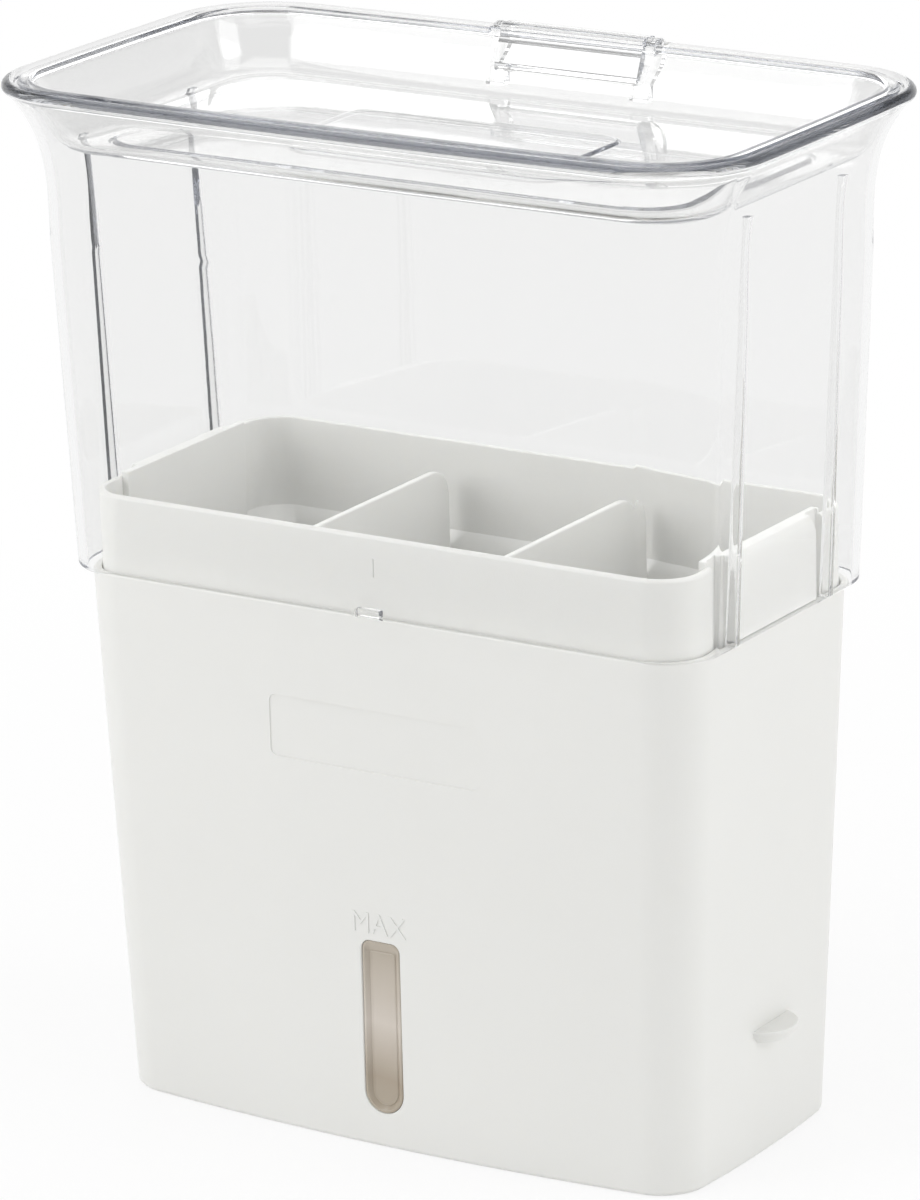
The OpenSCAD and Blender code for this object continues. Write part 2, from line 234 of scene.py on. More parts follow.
def makeMouldGroup():
    # moulded plastic: slow sink and flow in the surface, a fine grain, and a shade that drifts
    group = bpy.data.node_groups.new("mouldedSurface", "ShaderNodeTree")
    newSocket(group, "Flow Scale", "INPUT", value=18)
    newSocket(group, "Flow Depth", "INPUT", value=0.5)
    newSocket(group, "Grain Scale", "INPUT", value=900)
    newSocket(group, "Grain Depth", "INPUT", value=0.06)
    newSocket(group, "Height", "OUTPUT")
    newSocket(group, "Drift", "OUTPUT")
    nodes, links = group.nodes, group.links
    given = nodes.new("NodeGroupInput")
    out = nodes.new("NodeGroupOutput")
    place = nodes.new("ShaderNodeTexCoord")
    flow = nodes.new("ShaderNodeTexNoise")
    flow.inputs["Detail"].default_value = 2
    grain = nodes.new("ShaderNodeTexNoise")
    grain.inputs["Detail"].default_value = 3
    drift = nodes.new("ShaderNodeTexNoise")
    drift.inputs["Scale"].default_value = 9
    drift.inputs["Detail"].default_value = 4
    deepFlow = nodes.new("ShaderNodeMath")
    deepFlow.operation = "MULTIPLY"
    deepGrain = nodes.new("ShaderNodeMath")
    deepGrain.operation = "MULTIPLY"
    total = nodes.new("ShaderNodeMath")
    total.operation = "ADD"
    for texture in (flow, grain, drift):
        links.new(place.outputs["Object"], texture.inputs["Vector"])
    links.new(given.outputs["Flow Scale"], flow.inputs["Scale"])
    links.new(given.outputs["Grain Scale"], grain.inputs["Scale"])
    links.new(flow.outputs["Fac"], deepFlow.inputs[0])
    links.new(given.outputs["Flow Depth"], deepFlow.inputs[1])
    links.new(grain.outputs["Fac"], deepGrain.inputs[0])
    links.new(given.outputs["Grain Depth"], deepGrain.inputs[1])
    links.new(deepFlow.outputs[0], total.inputs[0])
    links.new(deepGrain.outputs[0], total.inputs[1])
    links.new(total.outputs[0], out.inputs["Height"])
    links.new(drift.outputs["Fac"], out.inputs["Drift"])
    return group


mouldedSurface = makeMouldGroup()
bumpHeight = 0.0004
driftSpan = {"low": 0.3, "high": 0.7}  # the part of the noise that carries a drift


def newMaterial(name):
    material = bpy.data.materials.new(name)
    material.use_nodes = True
    nodes = material.node_tree.nodes
    return material, nodes, material.node_tree.links, nodes["Principled BSDF"]


def addMould(nodes, links, shader, look):
    # places the moulded surface group and feeds its height to the shader's normal
    mould = nodes.new("ShaderNodeGroup")
    mould.node_tree = mouldedSurface
    mould.inputs["Flow Scale"].default_value = look["flowScale"]
    mould.inputs["Flow Depth"].default_value = look["flowDepth"]
    mould.inputs["Grain Scale"].default_value = look["grainScale"]
    mould.inputs["Grain Depth"].default_value = look["grainDepth"]
    bump = nodes.new("ShaderNodeBump")
    bump.inputs["Strength"].default_value = look["bump"]
    bump.inputs["Distance"].default_value = bumpHeight
    links.new(mould.outputs["Height"], bump.inputs["Height"])
    links.new(bump.outputs["Normal"], shader.inputs["Normal"])
    return mould


def driftRamp(nodes, links, mould, low, high):
    # colours that drift between two near tones
    ramp = nodes.new("ShaderNodeValToRGB")
    ramp.color_ramp.elements[0].position = driftSpan["low"]
    ramp.color_ramp.elements[1].position = driftSpan["high"]
    ramp.color_ramp.elements[0].color = (*low, 1)
    ramp.color_ramp.elements[1].color = (*high, 1)
    links.new(mould.outputs["Drift"], ramp.inputs["Fac"])
    return ramp


def driftRange(nodes, links, mould, low, high):
    span = nodes.new("ShaderNodeMapRange")
    span.inputs["From Min"].default_value = driftSpan["low"]
    span.inputs["From Max"].default_value = driftSpan["high"]
    span.inputs["To Min"].default_value = low
    span.inputs["To Max"].default_value = high
    links.new(mould.outputs["Drift"], span.inputs["Value"])
    return span


whiteLook = {"low": (0.815, 0.815, 0.79), "high": (0.84, 0.84, 0.815), "smooth": 0.3, "rough": 0.36,
             "glow": 0.12, "glowDepth": 0.0015, "glowRed": (1, 0.95, 0.85), "ior": 1.49,
             "flowScale": 16, "flowDepth": 0.5, "grainScale": 1400, "grainDepth": 0.05, "bump": 0.35}


def makeWhitePlastic(name, look):
    material, nodes, links, shader = newMaterial(name)
    mould = addMould(nodes, links, shader, look)
    links.new(driftRamp(nodes, links, mould, look["low"], look["high"]).outputs["Color"],
              shader.inputs["Base Color"])
    links.new(driftRange(nodes, links, mould, look["smooth"], look["rough"]).outputs["Result"],
              shader.inputs["Roughness"])
    shader.inputs["IOR"].default_value = whiteLook["ior"]
    shader.inputs["Subsurface Weight"].default_value = whiteLook["glow"]
    shader.inputs["Subsurface Radius"].default_value = whiteLook["glowRed"]
    shader.inputs["Subsurface Scale"].default_value = whiteLook["glowDepth"]
    return material


clearLook = {"tint": (0.945, 0.945, 0.942), "shadowTint": (1, 1, 1), "smooth": 0.0, "rough": 0.03,
             "depthTone": (0.5, 0.52, 0.57), "depthDensity": 11, "ior": 1.5,
             "flowScale": 22, "flowDepth": 0.5, "grainScale": 260, "grainDepth": 0.02, "bump": 0.25}


def makeClearPlastic(name, look):
    # clear moulded plastic that lets the lamps through to what stands behind it
    material, nodes, links, shader = newMaterial(name)
    out = nodes["Material Output"]
    mould = addMould(nodes, links, shader, look)
    links.new(driftRange(nodes, links, mould, look["smooth"], look["rough"]).outputs["Result"],
              shader.inputs["Roughness"])
    shader.inputs["Base Color"].default_value = (*look["tint"], 1)
    shader.inputs["IOR"].default_value = look["ior"]
    shader.inputs["Transmission Weight"].default_value = 1
    path = nodes.new("ShaderNodeLightPath")
    through = nodes.new("ShaderNodeBsdfTransparent")
    through.inputs["Color"].default_value = (*look["shadowTint"], 1)
    mix = nodes.new("ShaderNodeMixShader")
    links.new(path.outputs["Is Shadow Ray"], mix.inputs[0])
    links.new(shader.outputs[0], mix.inputs[1])
    links.new(through.outputs[0], mix.inputs[2])
    links.new(mix.outputs[0], out.inputs["Surface"])
    # the longer light runs inside the plastic, the grayer it comes out, as along the rim
    depth = nodes.new("ShaderNodeVolumeAbsorption")
    depth.inputs["Color"].default_value = (*look["depthTone"], 1)
    depth.inputs["Density"].default_value = look["depthDensity"]
    links.new(depth.outputs[0], out.inputs["Volume"])
    return material


# the window's tones are painted light: bands by height that stand in for reflections and the shaded inside
# seen through it
windowLook = {"paintedLightTones": [(0.0, (0.60, 0.53, 0.43)), (0.25, (0.52, 0.44, 0.345)), (0.55, (0.82, 0.75, 0.67)),
                        (0.9, (0.61, 0.54, 0.45))],
              "low": 0.009, "high": 0.059, "smooth": 0.08, "rough": 0.2, "stir": 0.5,
              "through": 0.22, "ior": 1.49,
              "flowScale": 70, "flowDepth": 0.7, "grainScale": 500, "grainDepth": 0.05, "bump": 0.5}


def makeWindowPlastic(name, look):
    # smoky, half see-through plastic whose tone runs from foot to top: darker in the lower third and lighter
    # above the middle, painted reflection and painted shade that stand in for the inside seen through it,
    # stirred a little by random drift
    material, nodes, links, shader = newMaterial(name)
    mould = addMould(nodes, links, shader, look)
    place = nodes.new("ShaderNodeTexCoord")
    split = nodes.new("ShaderNodeSeparateXYZ")
    rise = nodes.new("ShaderNodeMapRange")
    rise.inputs["From Min"].default_value = look["low"]
    rise.inputs["From Max"].default_value = look["high"]
    stir = nodes.new("ShaderNodeMath")
    stir.operation = "MULTIPLY_ADD"
    stir.inputs[1].default_value = look["stir"]
    stir.inputs[2].default_value = -look["stir"] / 2
    total = nodes.new("ShaderNodeMath")
    total.operation = "ADD"
    ramp = nodes.new("ShaderNodeValToRGB")
    for k, (position, tone) in enumerate(look["paintedLightTones"]):
        stepOfRamp = ramp.color_ramp.elements[k] if k < 2 else ramp.color_ramp.elements.new(position)
        stepOfRamp.position = position
        stepOfRamp.color = (*tone, 1)
    links.new(place.outputs["Object"], split.inputs[0])
    # the height on the window picks the painted reflection and painted shade
    links.new(split.outputs["Z"], rise.inputs["Value"])
    links.new(mould.outputs["Drift"], stir.inputs[0])
    links.new(rise.outputs["Result"], total.inputs[0])
    links.new(stir.outputs[0], total.inputs[1])
    links.new(total.outputs[0], ramp.inputs["Fac"])
    links.new(ramp.outputs["Color"], shader.inputs["Base Color"])
    links.new(driftRange(nodes, links, mould, look["smooth"], look["rough"]).outputs["Result"],
              shader.inputs["Roughness"])
    shader.inputs["IOR"].default_value = look["ior"]
    shader.inputs["Transmission Weight"].default_value = look["through"]
    return material


sealLook = {"low": (0.24, 0.235, 0.22), "high": (0.3, 0.295, 0.28), "smooth": 0.6, "rough": 0.75,
            "flowScale": 60, "flowDepth": 0.4, "grainScale": 2200, "grainDepth": 0.3, "bump": 0.5}

whitePlastic = makeWhitePlastic("whitePlastic", whiteLook)
clearPlastic = makeClearPlastic("clearPlastic", clearLook)
windowPlastic = makeWindowPlastic("smokePlasticPaintedLight", windowLook)
sealRubber = makeWhitePlastic("sealRubber", sealLook)
print("materials made")


tub = {"foot": (0, 87.4, 41, 11, 2, 5.2), "edge": (147.6, 93.85, 46.9, 14, 0, 0), "wall": 2.3,
       "floor": 3, "footRound": 1.6, "edgeRound": 0.8, "floorRound": 4, "underMargin": 6, "underDepth": 0.7}
slot = {"width": 11.8, "low": 9.9, "high": 58, "cornerRadius": 2.5, "edge": 0.35, "through": (-55, -35)}
tab = {"width": 20, "out": 6, "top": 36.6, "thick": 3.6, "centreY": 1.5, "sunk": 4}


def tubAt(height, depth=0):
    share = height / tub["edge"][0]
    return atHeight(insetSection(mixSection(tub["foot"], tub["edge"], share), depth), height)


def frontPlace(x, z, out):
    # a place on the tub's front face, out from it by some mm
    _, halfX, halfY, _, _, bulgeY = tubAt(z)
    return Vector((x, -(halfY + bulgeY * (1 - (x / halfX) ** 2)) - out, z)) * mm


def slotOutline(grow, topDrop=0):
    # the window's outline in x and z: round below, small corners above
    radius = slot["width"] / 2 + grow
    corner = slot["cornerRadius"] + min(grow, 1.2)
    corner = max(corner, 0.6)
    top = slot["high"] + grow - topDrop
    low = slot["low"] + slot["width"] / 2
    outline = [(radius * cos(a), low + radius * sin(a)) for a in arcSteps(24, 180, 360)]
    outline += [(radius, low + (top - corner - low) * k / 6) for k in range(1, 6)]
    outline += [(radius - corner + corner * cos(a), top - corner + corner * sin(a)) for a in arcSteps(8)]
    outline += [(-radius + corner + corner * cos(a), top - corner + corner * sin(a))
                for a in arcSteps(8, 90, 180)]
    outline += [(-radius, top - corner - (top - corner - low) * k / 6) for k in range(1, 6)]
    return outline


def makeTub():
    footRound, edgeRound, floorRound = tub["footRound"], tub["edgeRound"], tub["floorRound"]
    wall, top = tub["wall"], tub["edge"][0]
    sections = [tubAt(tub["underDepth"], tub["underMargin"] + 0.7), tubAt(0.1, tub["underMargin"] + 0.2),
                tubAt(0, tub["underMargin"]), tubAt(0, footRound + 1.2)]
    sections += [tubAt(footRound * (1 - cos(a)), footRound * (1 - sin(a))) for a in arcSteps(6)]
    sections += [tubAt(z) for z in spread(footRound, top - edgeRound, 16)]
    sections += [tubAt(top - edgeRound * (1 - sin(a)), edgeRound * (1 - cos(a))) for a in arcSteps(4)]
    sections += [tubAt(top - 0.5 * (1 - sin(a)), wall - 0.5 * (1 - cos(a))) for a in arcSteps(3, 90, 0)]
    sections += [tubAt(z, wall) for z in spread(top - 0.5, tub["floor"] + floorRound, 14)]
    sections += [tubAt(tub["floor"] + floorRound * (1 - sin(a)), wall + floorRound * (1 - cos(a)))
                 for a in arcSteps(6)]
    sections += [tubAt(tub["floor"], wall + floorRound + 3)]
    shell = makePiece("tubShell", loftSections(sections))
    opening = makePiece("slotCut", prismMesh(slotOutline(0), *slot["through"], "y"))
    shell = shapeWith(shell, [opening], "DIFFERENCE")
    shell = shapeWith(shell, [makePiece("slotLip", slotLip()), makePlaqueCut()], "DIFFERENCE")
    shell = shapeWith(shell, makeThumbTabs(), "UNION")
    return finishPiece(shell, "tub", "white_plastic", whitePlastic, "water_tub")


def slotLip():
    # takes the sharp edge off the slot's mouth: a funnel that follows the bulged face
    edge = slot["edge"]
    rings = []
    funnel = [(1.2, edge + 1.2), (0, edge), (-0.12, edge * 0.5), (-edge, 0.02), (-edge - 0.5, 0.02)]
    for out, grow in funnel:
        rings.append([frontPlace(x, z, out) for x, z in slotOutline(grow)])
    return loftRings(rings)


def makeThumbTabs():
    # a half ellipse that slopes away underneath, sunk in each end wall
    halfWidth, out, thick = tab["width"] / 2, tab["out"], tab["thick"]
    reach = out + tab["sunk"]
    base = tub["foot"][1]
    rings = []
    side = [(thick, -2.2), (thick * 0.55, -0.9), (1.3, -0.25), (0.5, 0), (0.15, -0.12), (0, -0.5)]
    for drop, grow in side:
        z = tab["top"] - drop
        long, wide = reach + grow, halfWidth + grow
        rings.append([Vector((base + long * cos(a), tab["centreY"] + wide * sin(a), z)) * mm
                      for a in arcSteps(28, -90, 90)])
    bm = loftRings(rings)
    return [makePiece("tabRight", bm.copy()), makePiece("tabLeft", mirrored(bm, "x"))]


plaque = {"halfWidth": 32.5, "low": 105, "high": 122, "corner": 2, "deep": 0.3}
levelWord = {"text": "MAX", "height": 5.6, "width": 16.6, "low": 60.2, "out": 0.24, "sink": 0.5}


def wrapOnFront(bm):
    # x and z stay, and y, which is minus the height above the face, follows the bulge
    for vert in bm.verts:
        x, out, z = vert.co.x / mm, -vert.co.y / mm, vert.co.z / mm
        vert.co = frontPlace(x, z, out)
    return bm


def makePlaqueCut():
    # a shallow field with soft sides that follows the face; nothing is written on it
    wide, deep = plaque["halfWidth"], plaque["deep"]
    bm = boxMesh((-wide, -1, plaque["low"]), (wide, deep, plaque["high"]))
    posts = [e for e in bm.edges if abs(e.verts[0].co.y - e.verts[1].co.y) > 1e-6]
    bmesh.ops.bevel(bm, geom=posts, offset=plaque["corner"] * mm, affect="EDGES", segments=6, profile=0.5,
                    material=-1)
    rim = [e for e in bm.edges if all(v.co.y > deep * mm * 0.9 for v in e.verts)]
    bmesh.ops.bevel(bm, geom=rim, offset=deep * 0.7 * mm, affect="EDGES", segments=2, profile=0.5,
                    material=-1)
    for x in spread(-wide + plaque["corner"], wide - plaque["corner"], 20):
        geom = bm.verts[:] + bm.edges[:] + bm.faces[:]
        bmesh.ops.bisect_plane(bm, geom=geom, plane_co=Vector((x, 0, 0)) * mm, plane_no=(1, 0, 0))
    return makePiece("plaqueCut", wrapOnFront(bm))


def makeLevelWord():
    curve = bpy.data.curves.new("levelWord", "FONT")
    curve.body = levelWord["text"]
    curve.align_x = "CENTER"
    curve.size = 1
    curve.extrude = 0.5
    curve.bevel_depth = 0
    curve.resolution_u = 4
    letters = bpy.data.objects.new("letters", curve)
    bpy.context.scene.collection.objects.link(letters)
    bpy.context.view_layer.update()
    shaped = letters.evaluated_get(bpy.context.evaluated_depsgraph_get())
    bm = bmesh.new()
    bm.from_mesh(bpy.data.meshes.new_from_object(shaped))
    bpy.data.objects.remove(letters)
    xs = [v.co.x for v in bm.verts]
    ys = [v.co.y for v in bm.verts]
    middle, low = (min(xs) + max(xs)) / 2, min(ys)
    scaleX = levelWord["width"] / (max(xs) - min(xs))
    scaleZ = levelWord["height"] / (max(ys) - low)
    for vert in bm.verts:
        x, up, front = vert.co
        height = levelWord["out"] if front > 0 else -levelWord["sink"]
        vert.co = frontPlace((x - middle) * scaleX, levelWord["low"] + (up - low) * scaleZ, height)
    bmesh.ops.remove_doubles(bm, verts=bm.verts, dist=1e-7)
    bmesh.ops.recalc_face_normals(bm, faces=bm.faces)
    piece = makePiece("levelWord", bm, 20)
    return finishPiece(piece, "tub", "white_plastic", whitePlastic)


makeTub()
makeLevelWord()
print("tub made")


window = {"gap": 0.1, "front": -46.15, "back": -43.2, "flangeBack": -41.6, "lap": 3, "slope": 1.9,
          "slopeTop": 1.1, "dish": 1.0, "bead": 0.22, "edge": 0.35}


def makeWindow():
    gap, edge, bead = window["gap"], window["edge"], window["bead"]
    slope, top = window["slope"], window["slopeTop"]
    front, back = window["front"], window["back"]
    floor = front + window["dish"]
    rows = [(window["flangeBack"], window["lap"] - 0.4, 0), (window["flangeBack"] - 0.2, window["lap"], 0),
            (back + 0.2, window["lap"], 0), (back, window["lap"] - 0.3, 0), (back, -gap, 0)]
    rows += [(y, -gap, 0) for y in spread(back, front + edge, 4)]
    rows += [(front + edge * (1 - sin(a)), -gap - edge * (1 - cos(a)), 0) for a in arcSteps(4)]
    rows += [(front, -0.7, 0.05), (front + 0.06, -0.95, 0.1), (floor - 0.14, -slope + 0.2, top - 0.15),
             (floor, -slope, top), (floor - bead, -slope - 0.2, top), (floor - bead, -slope - 0.45, top),
             (floor, -slope - 0.7, top)]
    rings = [[Vector((x, y, z)) * mm for x, z in slotOutline(grow, drop)] for y, grow, drop in rows]
    piece = makePiece("levelWindow", loftRings(rings), 50)
    return finishPiece(piece, "tub", "smoke_window", windowPlastic, "level_window")


makeWindow()
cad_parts["window_seal"].data.materials.clear()
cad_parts["window_seal"].data.materials.append(sealRubber)
print("window made")


basket = {"bandX": 91.15, "bandY": 44.2, "bandRadius": 11.6, "bandLow": 143, "bandTop": 168.9,
          "waist": 139, "waistInset": 3.2, "footInset": 9.1, "footY": 36, "floor": 20, "wall": 1.8,
          "foot": 3, "inside": 2.5, "lipRound": 1}
gripPanel = {"x": 93, "low": 147.8, "edge": 166.6, "top": 170.3, "slope": 2.0, "half": 20.7, "face": 87.3}
channel = {"low": 20.9, "high": 26.9, "floor": 89, "bottom": 139.6, "edge": 0.4, "wall": 2.4, "lap": 0.9}
divider = {"x": 29.4, "thick": 1.8, "low": 23, "top": 163, "corner": 8, "side": 0.6}
guide = {"wide": 1.4, "reach": 2.2, "low": 24}
drain = {"wide": 3, "long": 22, "pitch": 9, "reach": 72, "y": 15, "clear": 4}
leg = {"x": 70, "y": 24, "radius": 4, "low": 3.3, "sunk": 0.5, "edge": 0.8}

basketFoot = (basket["floor"], basket["bandX"] - basket["footInset"], basket["footY"], 9, 0, 0)
basketWaist = (basket["waist"], basket["bandX"] - basket["waistInset"],
               basket["bandY"] - basket["waistInset"], 10.4, 0, 0)
basketBand = (basket["bandLow"], basket["bandX"], basket["bandY"], basket["bandRadius"], 0, 0)


def basketAt(height, depth=0):
    share = (height - basket["floor"]) / (basket["waist"] - basket["floor"])
    return atHeight(insetSection(mixSection(basketFoot, basketWaist, share), depth), height)


def basketFace(height):
    return basketAt(height, basket["wall"])[2]


def makeBasket():
    foot, wall, floor, top = basket["foot"], basket["wall"], basket["floor"], basket["bandTop"]
    lipRound, inside = basket["lipRound"], basket["inside"]
    sections = [basketAt(floor, foot + 6)]
    sections += [basketAt(floor + foot * (1 - cos(a)), foot * (1 - sin(a))) for a in arcSteps(5)]
    sections += [basketAt(z) for z in spread(floor + foot, basket["waist"], 12)]
    sections += [basketWaist, atHeight(basketBand, basket["bandLow"])]
    sections += [atHeight(basketBand, z) for z in spread(basket["bandLow"], top - lipRound, 3)]
    sections += [atHeight(insetSection(basketBand, lipRound * (1 - cos(a))), top - lipRound * (1 - sin(a)))
                 for a in arcSteps(5)]
    sections += [atHeight(insetSection(basketBand, wall - 0.5 * (1 - cos(a))), top - 0.5 * (1 - sin(a)))
                 for a in arcSteps(3, 90, 0)]
    sections += [atHeight(insetSection(basketBand, wall), basket["bandLow"] + 0.8),
                 basketAt(basket["waist"] + 0.8, wall)]
    sections += [basketAt(z, wall) for z in spread(basket["waist"], floor + wall + inside, 12)]
    sections += [basketAt(floor + wall + inside * (1 - sin(a)), wall + inside * (1 - cos(a)))
                 for a in arcSteps(5)]
    sections += [basketAt(floor + wall, wall + inside + 2)]
    shell = makePiece("herbBasket", loftSections(sections))
    wallReach = channel["high"] + channel["lap"]
    wallBlock = boxMesh((gripPanel["face"], -wallReach, basket["waist"] + 1),
                        (gripPanel["face"] + channel["wall"], wallReach, gripPanel["top"]), 0.3)
    face, out, low, high = (gripPanel[k] for k in ("face", "x", "low", "top"))
    bandFace = basket["bandX"] - 0.1
    outline = [(face, basket["waist"] + 2), (bandFace, basket["bandLow"] + 2), (bandFace, low), (out, low),
               (out, gripPanel["edge"]), (out - gripPanel["slope"], high), (face, high)]
    panel = prismMesh(outline, -gripPanel["half"], gripPanel["half"], "y", 0.45, 4)
    added = [makePiece("wallRight", wallBlock.copy()), makePiece("wallLeft", mirrored(wallBlock)),
             makePiece("panelRight", panel.copy()), makePiece("panelLeft", mirrored(panel))]
    added += guidePieces()
    added += fourWays("leg", legMesh())
    shell = shapeWith(shell, added, "UNION")
    groove = boxMesh((channel["floor"], channel["low"], channel["bottom"]),
                     (channel["floor"] + 20, channel["high"], top + 20), channel["edge"], 3, upright=True)
    cuts = fourWays("groove", groove)
    shell = shapeWith(shell, cuts, "DIFFERENCE")
    shell = shapeWith(shell, drainCuts(), "DIFFERENCE")
    return finishPiece(shell, "basket", "white_plastic", whitePlastic, "herb_basket")


def legMesh():
    top = basket["floor"] + leg["sunk"]
    bm = bmesh.new()
    bmesh.ops.create_cone(bm, cap_ends=True, segments=40, radius1=leg["radius"] * mm,
                          radius2=leg["radius"] * mm, depth=(top - leg["low"]) * mm)
    lowEdges = [e for e in bm.edges if max(v.co.z for v in e.verts) < 0 and len(e.link_faces) == 2]
    bmesh.ops.bevel(bm, geom=lowEdges, offset=leg["edge"] * mm, affect="EDGES", segments=3, profile=0.5,
                    material=-1)
    middle = Vector((leg["x"], leg["y"], (top + leg["low"]) / 2)) * mm
    bmesh.ops.translate(bm, verts=bm.verts, vec=middle)
    return bm


def guidePieces():
    # two upright ribs on each long wall hold each divider
    made = []
    for side in (-1, 1):
        near = divider["x"] + side * (divider["thick"] / 2 + 0.2 + guide["wide"] / 2)
        low, high = guide["low"], basket["waist"]
        outline = [(basketFace(low) + 0.6, low), (basketFace(high) + 0.6, high),
                   (basketFace(high) - guide["reach"], high), (basketFace(low) - guide["reach"], low)]
        rib = prismMesh(outline, near - guide["wide"] / 2, near + guide["wide"] / 2, "x", 0.3, 2)
        made += fourWays(f"guide{side + 1}", rib)
    return made


def drainCuts():
    cuts = []
    count = int(drain["reach"] / drain["pitch"])
    for k in range(-count, count + 1):
        x = k * drain["pitch"]
        if abs(abs(x) - divider["x"]) < drain["clear"]:
            continue
        for y in (-drain["y"], drain["y"]):
            block = boxMesh((x - drain["wide"] / 2, y - drain["long"] / 2, basket["floor"] - 2),
                            (x + drain["wide"] / 2, y + drain["long"] / 2, basket["floor"] + 6),
                            drain["wide"] / 2 - 0.05, 5, upright=True)
            cuts.append(makePiece(f"drain{k}", block))
    return cuts


def makeDivider(name, side, body, node):
    low = basketFace(divider["low"] + 2) - divider["side"]
    high = basketFace(basket["waist"]) - divider["side"]
    corner, top = divider["corner"], divider["top"]
    outline = [(-low + 1, divider["low"]), (low - 1, divider["low"]), (low, divider["low"] + 1),
               (high, basket["waist"])]
    outline += [(high - corner + corner * cos(a), top - corner + corner * sin(a)) for a in arcSteps(8)]
    outline += [(-high + corner + corner * cos(a), top - corner + corner * sin(a))
                for a in arcSteps(8, 90, 180)]
    outline += [(-high, basket["waist"]), (-low, divider["low"] + 1)]
    plate = prismMesh(outline, side * divider["x"] - divider["thick"] / 2,
                      side * divider["x"] + divider["thick"] / 2)
    rim = [e for e in plate.edges if e.calc_face_angle(0) > radians(60)]
    bmesh.ops.bevel(plate, geom=rim, offset=0.5 * mm, affect="EDGES", segments=3, profile=0.5, material=-1)
    piece = makePiece(name, plate)
    return finishPiece(piece, body, "white_plastic", whitePlastic, node)


bandNib = {"wide": 0.7, "low": 158, "high": 163, "out": 0.25, "edge": 0.15}


def makeBandNib():
    face = -basket["bandY"]
    bm = boxMesh((-bandNib["wide"] / 2, face - bandNib["out"], bandNib["low"]),
                 (bandNib["wide"] / 2, face + 0.5, bandNib["high"]), bandNib["edge"], 2)
    return finishPiece(makePiece("bandNib", bm), "basket", "white_plastic", whitePlastic)


makeBasket()
makeBandNib()
makeDivider("leftPlate", -1, "left_divider", "left_divider")
makeDivider("rightPlate", 1, "right_divider", "right_divider")
print("basket made")


cover = {"skirt": (147.9, 97.2, 49.7, 15.2, 0, 0), "neck": (237, 100.7, 53.3, 17.3, 0, 0),
         "rim": (280, 111.5, 63.35, 27, 1, 1.9), "wall": 2.3, "band": 3.4, "lipHeight": 2.7, "lipOut": 0.8,
         "flare": 3.5, "flareSteps": 26, "thicker": 0.32, "footRound": 0.9, "topRound": 1.7,
         "innerRound": 1.4}
rib = {"y": 24.4, "wide": 2.4, "deep": 3.2, "taper": 1.6, "top": 261, "sunk": 0.8, "edge": 1.0,
       "steps": [158, 170, 190, 210, 230, 245, 255]}
stop = {"half": 3.7, "inner": 45.2, "high": 150, "edge": 0.4}
hinge = {"y": 62.9, "z": 278.7, "half": 22, "radius": 2.6, "pin": 1.25, "pinEdge": 0.2, "play": 0.06,
         "gap": 0.3, "ear": 2.7, "notchLow": 269,
         "knuckle": [(54.6, 271), (55.4, 269.6), (58.8, 270.2), (60.4, 275.2)]}
ear = {"y": 61.7, "z": 276.2, "radius": 5, "front": 59.4, "footInner": 19.4, "footFront": 54.9,
       "footLow": 264.6, "footTop": 268.6, "arc": (-60, 117),
       "stem": [(59.4, 276), (57.4, 271), (56, 266.8), (58.4, 265.6), (59.4, 268.4)]}
lipZ = cover["rim"][0] - cover["lipHeight"]
pinHalf = hinge["half"] + hinge["gap"] + hinge["ear"]


def flareShare(height):
    neck, rim = cover["neck"], cover["rim"]
    if height <= neck[0]:
        return 0
    reach = 1 - cover["lipOut"] / (rim[1] - neck[1])
    return reach * ((height - neck[0]) / (lipZ - neck[0])) ** cover["flare"]


def coverAt(height):
    skirt, neck = cover["skirt"], cover["neck"]
    if height < neck[0]:
        return atHeight(mixSection(skirt, neck, (height - skirt[0]) / (neck[0] - skirt[0])), height)
    return atHeight(mixSection(neck, cover["rim"], flareShare(height)), height)


def coverInner(height):
    return insetSection(coverAt(height), cover["wall"] * (1 + cover["thicker"] * flareShare(height)))


def makeCoverShell():
    skirt, neck, rim, band = cover["skirt"], cover["neck"], cover["rim"], cover["band"]
    steps = cover["flareSteps"]
    levels = [neck[0] + (lipZ - neck[0]) * k / steps for k in range(1, steps + 1)]
    edge, top, lip = cover["footRound"], cover["topRound"], cover["innerRound"]
    outer = [atHeight(insetSection(skirt, edge * (1 - sin(a))), skirt[0] + edge * (1 - cos(a)))
             for a in arcSteps(4)]
    outer += [coverAt(z) for z in spread(skirt[0] + edge, neck[0], 9)] + [neck]
    outer += [coverAt(z) for z in levels]
    outer += [atHeight(insetSection(rim, 0.45), lipZ + 0.1), atHeight(insetSection(rim, 0.12), lipZ + 0.45),
              atHeight(rim, lipZ + 0.9)]
    outer += [atHeight(insetSection(rim, top * (1 - cos(a))), rim[0] - top * (1 - sin(a)))
              for a in arcSteps(4)]
    inner = [atHeight(insetSection(rim, band - lip * (1 - cos(a))), rim[0] - lip * (1 - sin(a)))
             for a in arcSteps(3, 90, 0)]
    inner += [atHeight(insetSection(rim, band + 0.15), rim[0] - 1.9)]
    inner += [coverInner(z) for z in reversed(levels[:-1])]
    inner += [coverInner(z) for z in spread(neck[0], skirt[0] + 1, 9)]
    inner += [atHeight(insetSection(skirt, cover["wall"]), skirt[0] + 0.3),
              atHeight(insetSection(skirt, cover["wall"] - 0.3), skirt[0])]
    return makePiece("coverShell", loftSections(outer + inner, sleeve=True))


